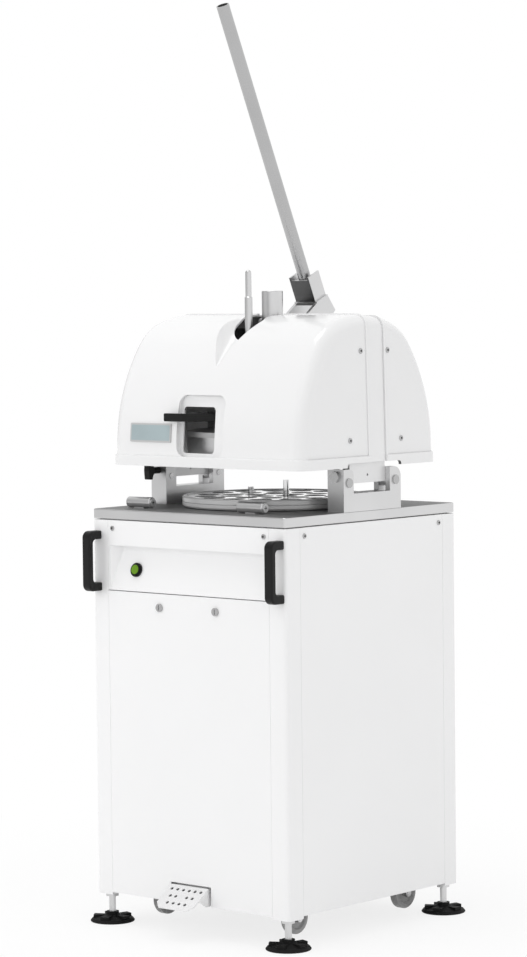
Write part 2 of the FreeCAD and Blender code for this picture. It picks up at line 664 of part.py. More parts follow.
def make_yoke():
    """The head's casting: two hanging cheeks that hook on the bracket pins, a cross plate, the
    column's guide sleeve, the stands of the lever and of the rod, and the front arm."""
    pin_y, pin_z = dim("ear_pin_y"), dim("ear_pin_z")
    thick, inner = dim("tongue_t"), dim("ear_in")
    mid = inner + (HALF_W - inner) / 2
    plate_foot, plate_top = 1205, 1220
    hook_r = dim("ear_pin_r") + 0.3
    parts, holes = [], []
    for _, s in SIDES:
        cheek = [(-66, 1046), (62, 1046), (70, 1035), (pin_y, pin_z, 15, -90, 60), (62, 1082),
                 (62, plate_top), (-66, plate_top), (-66, 1066), (-93, 1066), (-93, 1036), (-66, 1036)]
        body = padded("YZ_Plane", [cheek], thick, offset=s * mid - thick / 2)
        parts.append(body)
        holes.append(cylinder(dim("ear_pin_r") + 0.05, 60, (s * (mid - 30), pin_y, pin_z), (s, 0, 0)))
        holes.append(cylinder(hook_r, 60, (s * (mid - 30), -pin_y, pin_z), (s, 0, 0)))
        holes.append(slab((s * mid - 30, -pin_y - hook_r, 1000), (s * mid + 30, -pin_y + hook_r + 2, pin_z)))
        holes.append(cylinder(3, 60, (s * (mid - 30), -1, 1064), (s, 0, 0)))
    parts.append(slab((-mid, -66, plate_foot), (mid, 62, plate_top)))
    parts.append(slab((-56, 60, plate_foot), (56, 128, plate_top)))
    parts.append(cylinder(45, 112, (0, 0, plate_foot)))
    py, pz = dim("fork_pivot_y"), dim("fork_pivot_z")
    for _, s in SIDES:
        stand = [(py - 20, plate_top - 2), (py + 20, plate_top - 2), (py, pz, 16, 0, 180)]
        parts.append(padded("YZ_Plane", [stand], 10, offset=s * 45 - 5))
        holes.append(cylinder(8, 30, (s * 35, py, pz), (s, 0, 0)))
    parts.append(slab((0, -208, 1216), (30, -60, 1222)))
    parts.append(slab((0, -66, 1205), (30, -60, 1222)))
    parts.append(cylinder(6, 40, (15, -196, 1178)))
    rod_y, rod_z = ROD_PIVOT
    for _, s in SIDES:
        parts.append(slab((s * 16 - 4, rod_y - 12, 1208), (s * 16 + 4, rod_y + 20, rod_z + 12)))
        holes.append(cylinder(5, 12, (s * 10, rod_y, rod_z), (s, 0, 0)))
    holes.append(cylinder(dim("column_r") + 0.05, 200, (0, 0, 1150)))
    node("head_yoke", cut(fuse(*parts), *holes))
    node("pivot_pins", group(cylinder(8, 106, (-53, py, pz), (1, 0, 0)),
                             cylinder(5, 44, (-22, rod_y, rod_z), (1, 0, 0))))


ROD_PIVOT = (-85.0, 1262.0)


def make_rod():
    """The stepped control rod that stands in the cover's scoop."""
    y, z = ROD_PIVOT
    lower = cylinder(9, 1475 - z, (0, y, z))
    upper = cylinder(7, 64, (0, y, 1475))
    upper = rounded(upper, 6.5, lambda e: len(e.Vertexes) == 1 and e.CenterOfMass.z > 1538)
    eye = cylinder(11, 22, (-11, y, z), (1, 0, 0))
    step = cone(9, 7.0, 2, (0, y, 1475))
    node("control_rod", cut(fuse(lower, upper, eye, step), cylinder(5.05, 30, (-15, y, z), (1, 0, 0))))


def make_setting_lever():
    """Flat hand lever that comes out through the window of the front cover."""
    body = padded("XY_Plane", [[(15, -196, 15, -60, 120), (-6, -198), (-62, -247), (-114, -250), (-114, -259),
                                (-60, -257), (4, -209)]], 19, offset=1189)
    softened(body, 2.0, lambda e: not upright(e) and e.CenterOfMass.x < -20)
    node("setting_lever", cut(body, cylinder(6.05, 60, (15, -196, 1170))))


# Covers


def arch_loop(inset, foot):
    """Side profile of the cover: a straight flank, then three tangent arcs to the crown."""
    half = dim("cover_d") / 2
    flank, shoulder, z = dim("flank_r"), dim("shoulder_r"), dim("spring_z")
    turn1, turn2 = 36.0, 72.0
    c1 = (half - flank, z)
    gap = flank - shoulder
    c2 = (c1[0] + gap * math.cos(math.radians(turn1)), z + gap * math.sin(math.radians(turn1)))
    crown = shoulder + c2[0] / math.cos(math.radians(turn2))
    c3 = (0.0, c2[1] - (crown - shoulder) * math.sin(math.radians(turn2)))
    return [(half - inset, foot), (c1[0], c1[1], flank - inset, 0, turn1),
            (c2[0], c2[1], shoulder - inset, turn1, turn2), (c3[0], c3[1], crown - inset, turn2, 180 - turn2),
            (-c2[0], c2[1], shoulder - inset, 180 - turn2, 180 - turn1),
            (-c1[0], c1[1], flank - inset, 180 - turn1, 180), (-half + inset, foot)]


def arch_solid(inset, foot):
    """The cover's outer or inner solid, its ends drafted and its edges rounded."""
    half_w, high = dim("cover_w") / 2 - inset, 1470.0
    lean = 9.0
    body = padded("YZ_Plane", [arch_loop(inset, foot)], 2 * half_w + 20, midplane=True)
    base_z = dim("cover_foot")
    for s in (-1, 1):
        wedge = [(s * half_w, foot - 20), (s * half_w, base_z), (s * (half_w - lean), high), (s * 400, high),
                 (s * 400, foot - 20)]
        pocketed(body, "XZ_Plane", [wedge], midplane=True)

    def rim(edge):
        if edge.CenterOfMass.z < foot + 1 or abs(edge.CenterOfMass.x) < half_w - lean - 3:
            return False
        ends = [v.Point for v in edge.Vertexes]
        flat = abs(ends[0].y - ends[1].y) < 1e-6 and abs(ends[0].x - ends[1].x) < 1e-6
        side_line = max(abs(p.z - base_z) for p in ends) < 1e-6
        return not side_line and not (flat and ends[0].z + ends[1].z < 2 * foot + 2)

    softened(body, dim("cover_edge") - inset, rim)
    return body


SCOOP_TIP, SCOOP_HALF, SCOOP_LEAN = (-203.0, 1313.0), 24.0, 61.0


def scoop_tool(grow):
    """A cone lying in the middle of the front; it cuts a V with a rounded floor."""
    lean, half = math.radians(SCOOP_LEAN), math.radians(SCOOP_HALF)
    back = grow / math.sin(half)
    length = 330.0
    along = (0, math.cos(lean), math.sin(lean))
    base = (0, SCOOP_TIP[0] - along[1] * back, SCOOP_TIP[1] - along[2] * back)
    return cone(0, length * math.tan(half), length, base, along)


def window_tool(grow):
    """The dished surround of the window."""
    plate = slab((-88 - grow, -60, -60 - grow), (56 + grow, grow, 84 + grow))
    plate = rounded(plate, 22 + grow, along_y)
    plate.Placement = FreeCAD.Placement(vec(0, -228, 1166), FreeCAD.Rotation(vec(1, 0, 0), -5))
    return plate


def lip_ring():
    """The thickened skirt at the foot of the covers."""
    foot, lip, height = dim("cover_foot"), dim("lip"), dim("lip_h")
    w, d, r = dim("cover_w"), dim("cover_d"), dim("cover_edge")
    outer = rounded(block((w + 2 * lip, d + 2 * lip, height), (0, 0), foot), r + lip, upright)
    return rounded(outer, 3.0, lambda e: e.CenterOfMass.z > foot + height - 0.1)


# Side screws of the covers, as positions along Y and Z.
COVER_SCREWS = ((-26, 1350), (72, 1350), (-72, 1145), (114, 1144))
COVER_LEAN = math.atan2(9.0, 1470.0 - DIMS["cover_foot"])


def make_covers():
    foot, t = dim("cover_foot"), dim("cover_t")
    y1, y2 = dim("band_front"), dim("band_rear")
    beads = common(arch_solid(-2.5, foot), fuse(slab((-400, y1 - 8, foot), (400, y1 - 0.5, 1600)),
                                                slab((-400, y2 + 0.5, foot), (400, y2 + 7, 1600))))
    outer = fuse(arch_solid(0, foot), lip_ring(), beads)
    inner = arch_solid(t, foot - 5)
    scooped = cut(outer, scoop_tool(0), window_tool(0))
    hollow = cut(inner, scoop_tool(t), window_tool(t))
    rod_y = ROD_PIVOT[0]
    opening = fuse(slab((-34, rod_y, 1330), (34, y2, 1500)), cylinder(34, 170, (0, rod_y, 1330)))
    slot = rounded(slab((-40, -34, 1330), (40, 197, 1500)), 12, upright)
    window = slab((-80.5, -270, 1115), (17.5, -180, 1223))
    window = rounded(window, 9, along_y)
    notch = slab((-320, -88, foot - 9), (320, 108, foot + 10))
    notch = rounded(notch, 8, lambda e: along_x(e) and e.CenterOfMass.z > foot)
    holes = [cylinder(3.2, 620, (-310, y, z), (1, 0, 0)) for y, z in COVER_SCREWS]
    shell = cut(scooped, hollow, opening, slot, window, notch, *holes)
    front = slab((-400, -400, 900), (400, y1 - 0.5, 1600))
    rear = slab((-400, y2 + 0.5, 900), (400, 400, 1600))
    node("front_cover", common(shell, front))
    node("rear_cover", common(shell, rear))
    belt = cut(arch_solid(1.5, foot), arch_solid(t + 1.5, foot - 5), opening, slot, notch)
    node("cover_band", common(belt, slab((-400, y1, 900), (400, y2, 1600))))


def cover_half_width(z):
    """Half width of the cover's drafted end at height z."""
    rise = (z - dim("cover_foot")) / (1470.0 - dim("cover_foot"))
    return dim("cover_w") / 2 - 9.0 * rise


def make_cover_screws():
    screws = []
    for _, s in SIDES:
        out = (s * math.cos(COVER_LEAN), 0, math.sin(COVER_LEAN))
        screws += [screw(s * cover_half_width(z), y, z, out, head=6.5) for y, z in COVER_SCREWS]
    node("cover_screws", group(*screws))


# Press and lever


# The thirty cells of the dough plate and of the knives: how many, at what radius, from what angle.
# The knives' polygons are given by the radius of their corners.
CELLS = ((5, 47.0, 59.6), (10, 104.0, 19.5), (15, 163.0, 12.0))
KNIFE_RINGS = (18.0, 75.0, 133.0)
KNIFE_T = 2.0


def turned_slab(low, high, turn):
    """A box from corner to corner, swung about the Z axis."""
    obj = slab(low, high)
    obj.Placement = FreeCAD.Placement(vec(0, 0, 0), FreeCAD.Rotation(vec(*UP), turn)).multiply(obj.Placement)
    return obj


def knife_plates(foot, top, outer):
    """The star of flat knives. Every ring of cells has a polygon of plates on its inner side, and
    a radial blade between each two cells that runs out to the next polygon or to the crown."""
    half = KNIFE_T / 2
    knives = []
    flats = [radius * math.cos(math.pi / count) for (count, _, _), radius in zip(CELLS, KNIFE_RINGS)]
    for ring, ((count, _, start), flat) in enumerate(zip(CELLS, flats)):
        step, corner = 360.0 / count, math.pi / count
        side = (flat - half) * math.tan(corner)
        inner_end = (flat + half) * math.cos(corner) + side * math.sin(corner)
        for cell in (start + k * step for k in range(count)):
            knives.append(turned_slab((flat - half, -side, foot), (flat + half, side, top), cell))
            turn = cell + step / 2
            outer_end = math.sqrt(outer ** 2 - half ** 2)
            if ring + 1 < len(CELLS):
                next_step, next_start = 360.0 / CELLS[ring + 1][0], CELLS[ring + 1][2]
                off = math.radians((turn - next_start + next_step / 2) % next_step - next_step / 2)
                outer_end = (flats[ring + 1] - half - half * abs(math.sin(off))) / math.cos(off)
            knives.append(turned_slab((inner_end, -half, foot), (outer_end, half, top), turn))
    return knives


def make_press():
    """The press column, its plate, the crown ring and the star of dividing knives."""
    r, foot, high = dim("crown_r"), dim("crown_foot"), dim("crown_h")
    plate_foot = foot + high + 4
    column = cylinder("column_r", dim("column_top") - plate_foot, (0, 0, plate_foot))
    column = rounded(column, 2.0, lambda e: len(e.Vertexes) == 1 and e.CenterOfMass.z > 1480)
    pin_z = dim("fork_pivot_z") + 34
    pins = cylinder(6, 76, (-38, 0, pin_z), (1, 0, 0))
    node("press_column", fuse(column, pins))
    disc = cut(cylinder(r, 12, (0, 0, plate_foot)), cylinder("column_r", 20, (0, 0, plate_foot - 4)))
    node("press_plate", disc)
    crown = revolved([(r - 9, foot + 6), (r - 4, foot), (r, foot), (r, plate_foot), (r - 9, plate_foot)])
    node("crown_ring", crown)

    node("divider_knives", group(*knife_plates(plate_foot - 35.0, plate_foot, r - 9.05)))


LEAN = math.radians(DIMS["lever_lean"])
ALONG = (0, -math.sin(LEAN), math.cos(LEAN))
LEVER_FOOT = (0, 142.2, 1468.0)


def make_lever():
    """Bent fork arms, the channel that the tube stands in, and the open-ended tube."""
    y0, z0 = LEVER_FOOT[1], LEVER_FOOT[2]
    length = (dim("lever_top") - z0) / ALONG[2]
    sunk = 3.0
    start = tuple(LEVER_FOOT[i] + sunk * ALONG[i] for i in range(3))
    tube = cut(cylinder("lever_r", length - sunk, start, ALONG),
               cylinder("lever_bore", length, start, ALONG))
    node("lever_tube", tube)

    wide, deep, tall, web_top, t = 60.0, 42.0, 66.0, 58.0, 5.0
    tilt = FreeCAD.Placement(vec(0, y0, z0), FreeCAD.Rotation(vec(1, 0, 0), math.degrees(LEAN)))
    channel = padded("XY_Plane", [[(-wide / 2, -deep / 2), (wide / 2, -deep / 2), (wide / 2, deep / 2),
                                   (wide / 2 - t, deep / 2), (wide / 2 - t, -deep / 2 + t),
                                   (-wide / 2 + t, -deep / 2 + t), (-wide / 2 + t, deep / 2),
                                   (-wide / 2, deep / 2)]], tall - sunk, offset=sunk)
    channel.Placement = tilt
    filler = slab((-wide / 2 + t, -deep / 2 + t, 12), (wide / 2 - t, 12, 52))
    above_web = slab((-wide / 2 + t, -deep / 2 - 1, web_top), (wide / 2 - t, -deep / 2 + t, tall + 1))
    for obj in (filler, above_web):
        obj.Placement = tilt.multiply(obj.Placement)
    bore = cylinder(dim("lever_r") + 0.1, 80, start, ALONG)
    node("lever_socket", cut(fuse(channel, filler), above_web, bore))

    py, pz = dim("fork_pivot_y"), dim("fork_pivot_z")
    arm_in, arm_out = 27.0, 35.0
    pin_z = pz + 34
    side = [(py, pz, 20, 180, 330), (190, pz + 65), (y0 + 20, z0 + 9), (y0 - 22, z0 - 10), (78, pin_z + 16),
            (2, pin_z, 15, 90, 240)]
    arms = []
    for _, s in SIDES:
        arms.append(padded("YZ_Plane", [side], arm_out - arm_in, offset=(arm_in if s > 0 else -arm_out)))
    seat = slab((-arm_out, -22, -6), (arm_out, 22, sunk))
    seat.Placement = tilt.multiply(seat.Placement)
    slot = slab((-50, -7, pin_z - 8.5), (50, 15, pin_z + 8.5))
    bore = cylinder(8.05, 90, (-45, py, pz), (1, 0, 0))
    node("lever_fork", cut(fuse(*arms, seat), slot, bore))


# Drive and moulding table


def make_drive():
    """Drive plate, motor, belt and the crank shaft that swings the table in a small circle."""
    plate_foot, plate_top = 700.0, 708.0
    motor_at, axis_y = (140.0, 150.0), TABLE_AXIS_Y
    drive_r, motor_r, belt_z = 110.0, 35.0, (652.0, 676.0)
    plate = block((540, 560, plate_top - plate_foot), (0, 0), plate_foot)
    shaft_holes = [cylinder(45, 20, (0, axis_y, 695)), cylinder(20, 20, (*motor_at, 695))]
    node("drive_plate", cut(plate, *shaft_holes))

    body = cylinder(68, 190, (*motor_at, plate_top + 12))
    flange = cylinder(80, 12, (*motor_at, plate_top))
    fins = [slab((motor_at[0] - 1.5, motor_at[1] - 74, 745), (motor_at[0] + 1.5, motor_at[1] + 74, 880))]
    for k in range(1, 6):
        fin = slab((-1.5, -74, 745), (1.5, 74, 880))
        fin.Placement = FreeCAD.Placement(vec(*motor_at, 0), FreeCAD.Rotation(vec(*UP), 30 * k)).multiply(
            FreeCAD.Placement(vec(-1.5, -74, 745), FreeCAD.Rotation()))
        fins.append(fin)
    box = block((70, 40, 60), (motor_at[0], motor_at[1] + 86), 790)
    node("motor", cut(fuse(body, flange, *fins, box), cylinder(9.6, 20, (*motor_at, plate_top - 4))))

    shaft = cylinder(9.5, plate_top + 14 - belt_z[0], (*motor_at, belt_z[0]))
    pulley = cylinder(motor_r, belt_z[1] - belt_z[0], (*motor_at, belt_z[0]))
    flanges = [cylinder(motor_r + 5, 2, (*motor_at, z)) for z in (belt_z[0] - 2, belt_z[1])]
    node("motor_pulley", fuse(shaft, pulley, *flanges))

    wheel = cylinder(drive_r, belt_z[1] - belt_z[0], (0, axis_y, belt_z[0]))
    lighten = [cylinder(20, 40, (x, y + axis_y, belt_z[0] - 5)) for x, y in ring_points(68, 6)]
    node("drive_pulley", cut(wheel, cylinder("shaft_r", 40, (0, axis_y, 645)), *lighten))

    dx, dy = motor_at[0], motor_at[1] - axis_y
    span = math.hypot(dx, dy)
    tilt = math.degrees(math.acos((drive_r - motor_r) / span))
    heading = math.degrees(math.atan2(dy, dx))
    gap, thick = 0.3, 5.0

    def belt_loop(extra):
        near, far = heading + tilt, heading - tilt + 360
        return [(0, axis_y, drive_r + extra, near, far),
                (motor_at[0], motor_at[1], motor_r + extra, far - 360, near)]

    belt = padded("XY_Plane", [belt_loop(gap + thick), belt_loop(gap)], 18, offset=belt_z[0] + 3)
    node("drive_belt", belt)

    barrel = fuse(cylinder(75, 12, (0, axis_y, plate_top)), cylinder(42, 178, (0, axis_y, plate_top)))
    node("shaft_housing", cut(barrel, cylinder(dim("shaft_r") + 0.05, 220, (0, axis_y, 700))))
    crank = fuse(cylinder("shaft_r", 900 - belt_z[0], (0, axis_y, belt_z[0])),
                 cylinder(36, 14, (0, axis_y, 890)), cylinder(13, 34, (0, 0, 903)),
                 block((50, 60, 14), (0, axis_y - 48), 890))
    node("crank_shaft", crank)


def make_table():
    """Orbiting table, the ring it carries and the dough plate with its moulding pockets."""
    foot, high, r = dim("ring_foot"), dim("ring_h"), dim("ring_r")
    hub = revolved([(13.05, 906), (30, 906), (30, 925), (105, 925), (105, 937), (58, 943), (58, 958),
                    (95, 966), (95, foot), (40, foot), (40, 940), (13.05, 940)])
    node("orbit_table", hub)
    rim = revolved([(80, foot), (r - 4, foot), (r, foot + 4), (r, foot + 11), (r - 2, foot + 12),
                    (r, foot + 13), (r, foot + high - 3), (r - 3, foot + high), (r - 12, foot + high),
                    (r - 12, foot + 6), (80, foot + 6)])
    node("plate_ring", rim)
    plate_foot, plate_top = foot + 6, foot + 23
    plate = padded("XY_Plane", [(0, 0, r - 12.4)], plate_top - plate_foot, offset=plate_foot)
    pockets = [(x, y, dim("pocket_r")) for count, radius, start in CELLS
               for x, y in ring_points(radius, count, start)]
    pocketed(plate, "XY_Plane", pockets, 7, offset=plate_top)
    floor = plate_top - 7
    pegs = [cylinder(7, 45, (*ring_points(47, 1, -12.4)[0], floor)),
            cylinder(7, 22, (*ring_points(104, 1, 163.5)[0], floor))]
    node("dough_plate", fuse(plate, *pegs))


def make_stop_bars():
    """The two round plate stops on the tray, each on its small foot and with a screw in its end."""
    bars = []
    y, z = -240, TRAY_TOP + 14
    for x0, x1 in ((-245.0, -171.0), (101.0, 179.0)):
        bar = rounded(cylinder(13, x1 - x0, (x0, y, z), (1, 0, 0)), 2.5, lambda e: len(e.Vertexes) == 1)
        foot = block((30, 14, 6), ((x0 + x1) / 2, y), TRAY_TOP)
        head = cylinder(9.5, 4, (x1 - 1, y, z), (1, 0, 0))
        cross = [slab((x1 + 1.5, y - dy, z - dz), (x1 + 4, y + dy, z + dz)) for dy, dz in ((5, 1), (1, 5))]
        bars.append(cut(fuse(bar, foot, head), *cross))
    node("stop_bars", group(*bars))


for build in (make_frame, make_panels, make_console, make_tray, make_handles, make_panel_screws,
              make_locks, make_feet, make_casters, make_pedal, make_uprights, make_clamp_knob, make_yoke,
              make_rod, make_setting_lever, make_covers, make_cover_screws, make_press, make_lever,
              make_drive, make_table, make_stop_bars):
    build()
doc.recompute()

for obj in NODES.values():
    shift = FreeCAD.Placement(vec(0, SHIFT_Y, 0), FreeCAD.Rotation())
    obj.Placement = shift.multiply(obj.Placement)
doc.recompute()

for obj in doc.Objects:
    if "Invalid" in obj.State or "Error" in obj.State:
        raise RuntimeError(f"{obj.Name} failed: {obj.State}")
for label, obj in NODES.items():
    if obj.Shape.isNull() or not obj.Shape.isValid():
        raise RuntimeError(f"{label} has no valid shape")

os.makedirs("parts", exist_ok=True)
for label, obj in NODES.items():
    obj.Shape.exportStep(f"parts/{label}.step")
print(len(NODES), "nodes, shift", round(SHIFT_Y, 3))
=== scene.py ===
import bpy
import math
from mathutils import Matrix, Vector


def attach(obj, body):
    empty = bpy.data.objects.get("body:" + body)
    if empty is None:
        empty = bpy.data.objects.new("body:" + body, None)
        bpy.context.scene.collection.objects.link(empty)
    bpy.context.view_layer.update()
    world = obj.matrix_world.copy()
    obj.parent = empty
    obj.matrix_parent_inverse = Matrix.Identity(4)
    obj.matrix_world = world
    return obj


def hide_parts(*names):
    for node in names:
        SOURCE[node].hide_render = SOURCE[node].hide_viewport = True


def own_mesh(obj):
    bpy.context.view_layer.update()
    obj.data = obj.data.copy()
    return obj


# The divider rounder, dressed and lit as in the photograph. Metres, in the CAD's own frame:
# +Z up, front at -Y, origin on the floor under the middle of the outline.

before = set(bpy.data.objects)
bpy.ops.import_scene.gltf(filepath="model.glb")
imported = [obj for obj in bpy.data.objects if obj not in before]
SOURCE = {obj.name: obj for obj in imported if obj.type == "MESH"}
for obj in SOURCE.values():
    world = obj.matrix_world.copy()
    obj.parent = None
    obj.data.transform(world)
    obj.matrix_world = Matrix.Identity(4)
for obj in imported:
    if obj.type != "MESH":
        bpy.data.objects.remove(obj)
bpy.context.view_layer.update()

MM = 0.001
SHIFT_Y = 0.018378          # the cabinet's centre stands this far behind the origin
CORNERS = ("front_left", "front_right", "rear_left", "rear_right")


def at(x, y, z):
    """A point given in millimetres from the cabinet's centre line, as the CAD's sizes are."""
    return Vector((x * MM, y * MM + SHIFT_Y, z * MM))


# Materials


def new_material(name):
    material = bpy.data.materials.new(name)
    material.use_nodes = True
    return material, material.node_tree, material.node_tree.nodes["Principled BSDF"]


def position(tree, scale):
    """Object coordinates, stretched by scale along each axis."""
    coords = tree.nodes.new("ShaderNodeTexCoord")
    mapping = tree.nodes.new("ShaderNodeMapping")
    mapping.inputs["Scale"].default_value = scale
    tree.links.new(coords.outputs["Object"], mapping.inputs["Vector"])
    return mapping.outputs["Vector"]


def noise(tree, vector, scale, detail=3.0):
    node = tree.nodes.new("ShaderNodeTexNoise")
    node.inputs["Scale"].default_value = scale
    node.inputs["Detail"].default_value = detail
    tree.links.new(vector, node.inputs["Vector"])
    return node.outputs["Fac"]


def spread(tree, value, low, high):
    """Maps a 0 to 1 texture value to the range low to high."""
    node = tree.nodes.new("ShaderNodeMapRange")
    node.inputs["To Min"].default_value = low
    node.inputs["To Max"].default_value = high
    tree.links.new(value, node.inputs["Value"])
    return node.outputs["Result"]


def tint(tree, value, dark, light):
    """Runs from one colour to another with a texture value."""
    ramp = tree.nodes.new("ShaderNodeValToRGB")
    ramp.color_ramp.elements[0].position = 0.3
    ramp.color_ramp.elements[1].position = 0.7
    ramp.color_ramp.elements[0].color = (*dark, 1)
    ramp.color_ramp.elements[1].color = (*light, 1)
    tree.links.new(value, ramp.inputs["Fac"])
    return ramp.outputs["Color"]


def bumped(tree, shader, height, strength, distance):
    node = tree.nodes.new("ShaderNodeBump")
    node.inputs["Strength"].default_value = strength
    node.inputs["Distance"].default_value = distance
    tree.links.new(height, node.inputs["Height"])
    tree.links.new(node.outputs["Normal"], shader.inputs["Normal"])


def grey(level):
    return (level, level, level * 1.004)


def painted(name, level, roughness, coat=0.0, peel=0.04):
    """Enamel or moulded plastic: one even colour with a faint orange peel."""
    material, tree, shader = new_material(name)
    vector = position(tree, (1, 1, 1))
    shade = noise(tree, vector, 3.0)
    tree.links.new(tint(tree, shade, grey(level * 0.985), grey(level)), shader.inputs["Base Color"])
    tree.links.new(spread(tree, noise(tree, vector, 60.0), roughness * 0.9, roughness * 1.1),
                   shader.inputs["Roughness"])
    shader.inputs["Coat Weight"].default_value = coat
    shader.inputs["Coat Roughness"].default_value = 0.12
    bumped(tree, shader, noise(tree, vector, 900.0, 1.0), peel, 0.0004)
    return material


def metal(name, level, roughness, grain=(1, 1, 1), fine=260.0, depth=0.05, metallic=1.0, edge=0.5):
    """Bare metal whose grain is stretched along one axis; a lower metallic value is a satin finish."""
    material, tree, shader = new_material(name)
    shader.inputs["Specular IOR Level"].default_value = edge
    vector = position(tree, grain)
    lines = noise(tree, vector, fine, 2.0)
    broad = noise(tree, position(tree, (1, 1, 1)), 7.0)
    shader.inputs["Metallic"].default_value = metallic
    tree.links.new(tint(tree, broad, grey(level * 0.93), grey(level)), shader.inputs["Base Color"])
    tree.links.new(spread(tree, lines, roughness * 0.8, roughness * 1.25), shader.inputs["Roughness"])
    bumped(tree, shader, lines, depth, 0.0003)
    return material


def plastic(name, color, roughness, texture=0.0, speckle=1500.0, sheen=0.5):
    material, tree, shader = new_material(name)
    shader.inputs["Specular IOR Level"].default_value = sheen
    vector = position(tree, (1, 1, 1))
    grain = noise(tree, vector, speckle, 2.0)
    darker = tuple(0.85 * c for c in color)
    tree.links.new(tint(tree, noise(tree, vector, 9.0), darker, color), shader.inputs["Base Color"])
    tree.links.new(spread(tree, grain, roughness * 0.85, roughness * 1.15), shader.inputs["Roughness"])
    if texture:
        bumped(tree, shader, grain, texture, 0.0004)
    return material


LIBRARY = {
    "enamel": painted("enamel", 0.88, 0.38),
    "moulded_white": painted("moulded_white", 0.83, 0.24, coat=0.3, peel=0.02),
    "cover_inside_painted_shade": painted("cover_inside_painted_shade", 0.20, 0.6),
    "stainless_sheet": metal("stainless_sheet", 0.70, 0.30, (1, 24, 24)),
    "stainless_tube": metal("stainless_tube", 0.50, 0.26, (24, 24, 1)),
    "turned_steel": metal("turned_steel", 0.70, 0.32, (1, 1, 12)),
    "screw_steel": metal("screw_steel", 0.50, 0.22),
    "machined_alloy": metal("machined_alloy", 0.72, 0.36, (16, 1, 16)),
    "plate_metal": metal("plate_metal", 0.60, 0.24, (1, 1, 1), 420.0, 0.02, 0.15),
    "pedal_metal": metal("pedal_metal", 0.88, 0.34, (1, 1, 1), 300.0, 0.03, 0.35),
    "grey_casting": painted("grey_casting", 0.30, 0.5, peel=0.25),
    "black_plastic": plastic("black_plastic", (0.009, 0.009, 0.009), 0.4, 0.15, sheen=0.22),
    "black_rubber": plastic("black_rubber", (0.008, 0.008, 0.008), 0.65, 0.2, sheen=0.18),
    "green_button": plastic("green_button", (0.14, 0.30, 0.012), 0.3, sheen=0.25),
    "wheel_nylon": plastic("wheel_nylon", (0.40, 0.40, 0.40), 0.35),
    "motor_enamel": painted("motor_enamel", 0.10, 0.45, peel=0.15),
    # A darker copy of the stainless: a painted dark reflection for the tray's top.
    "tray_top_painted_reflection": metal("tray_top_painted_reflection", 0.22, 0.5, (24, 1, 1), metallic=0.4, edge=0.15),
    "polished_plate": metal("polished_plate", 0.84, 0.12, depth=0.01),
    "pocket_floor_painted_shade": metal("pocket_floor_painted_shade", 0.50, 0.4, metallic=0.6),
    "raw_casting": metal("raw_casting", 0.50, 0.5, metallic=0.4),
    # A lighter copy of the machined alloy: painted light on the head yoke's cheeks, which stand in shade
    # under the cover.
    "alloy_painted_light": metal("alloy_painted_light", 0.80, 0.34, (16, 1, 16), metallic=0.6),
    "steel_painted_shade": metal("steel_painted_shade", 0.13, 0.3, (16, 1, 1)),
    "socket_painted_shade": plastic("socket_painted_shade", (0.012, 0.012, 0.012), 0.5),
    "bare_label": painted("bare_label", 0.50, 0.45),
    "label_face": plastic("label_face", (0.38, 0.46, 0.48), 0.4),
}

DRESS = {
    "enamel": ["frame", "console_panel", "front_door", "left_side_panel", "right_side_panel", "rear_panel"],
    "moulded_white": ["front_cover", "rear_cover", "cover_band"],
    "stainless_sheet": ["tray", "divider_knives"],
    "pedal_metal": ["pedal"],
    "stainless_tube": ["lever_tube"],
    "turned_steel": ["pivot_pins", "control_rod", "press_column", "lever_fork", "drive_plate",
                     "motor_pulley", "crank_shaft", "stop_bars", "pedal_shaft", "pedal_spring",
                     "foot_spindles"],
    "screw_steel": ["bracket_pins", "panel_screws", "cover_screws", "left_door_lock", "right_door_lock"],
    "machined_alloy": ["left_upright", "right_upright", "lever_socket", "crown_ring"],
    # The yoke's cheeks get the lightened alloy as painted light.
    "alloy_painted_light": ["head_yoke"],
    "raw_casting": ["press_plate"],
    "plate_metal": ["plate_ring"],
    "polished_plate": ["dough_plate"],
    "grey_casting": ["drive_pulley", "shaft_housing", "orbit_table"],
    "black_plastic": ["left_handle", "right_handle", "button_bezel", "clamp_knob", "setting_lever"],
    "black_rubber": ["drive_belt"],
    "green_button": ["start_button"],
    "motor_enamel": ["motor"],
}
for corner in CORNERS:
    DRESS["black_rubber"].append(f"{corner}_foot")
    DRESS["turned_steel"].append(f"{corner}_caster_fork")
    DRESS.setdefault("wheel_nylon", []).append(f"{corner}_wheel")


def dress_source():
    """Gives every CAD node its material, and smooth shading between its real edges."""
    crease = math.radians(28)
    for name, nodes in DRESS.items():
        for label in nodes:
            mesh = SOURCE[label].data
            mesh.materials.clear()
            mesh.materials.append(LIBRARY[name])
            mesh.polygons.foreach_set("use_smooth", [True] * len(mesh.polygons))
            mesh.set_sharp_from_angle(angle=crease)


def second_finish(label, name, chosen):
    """Gives another material to the faces for which chosen(face) is true."""
    mesh = SOURCE[label].data
    mesh.materials.append(LIBRARY[name])
    for face in mesh.polygons:
        if chosen(face):
            face.material_index = 1


def looks_inward(face):
    """True for the covers' inner skin, which is given a dark grey as painted shade inside the hood, but not
    for the window's recess, the seams and the cut edges on top."""
    recess = face.center.y < at(0, -223, 0).y and 1.104 < face.center.z < 1.256
    seam = min(abs(face.center.y - at(0, y, 0).y) for y in (-0.25, 56.25)) < 0.5 * MM
    out = face.center - at(0, 0, 1150)
    return out.dot(face.normal) < 0 and not recess and not seam and face.center.z < 1.4


# The floors of the plate's pockets, which get a darker metal as painted shade in the recesses.
def pocket_floor_painted_shade(face):
    return face.normal.z > 0.9 and face.center.z < 1.003


def cross_recess(face):
    """The floor of the cross in the end screw of a stop bar, which is made black as painted shade in the
    recess.
    """
    return face.normal.x > 0.9 and min(abs(face.center.x - x * MM) for x in (-169.5, 180.5)) < 0.3 * MM


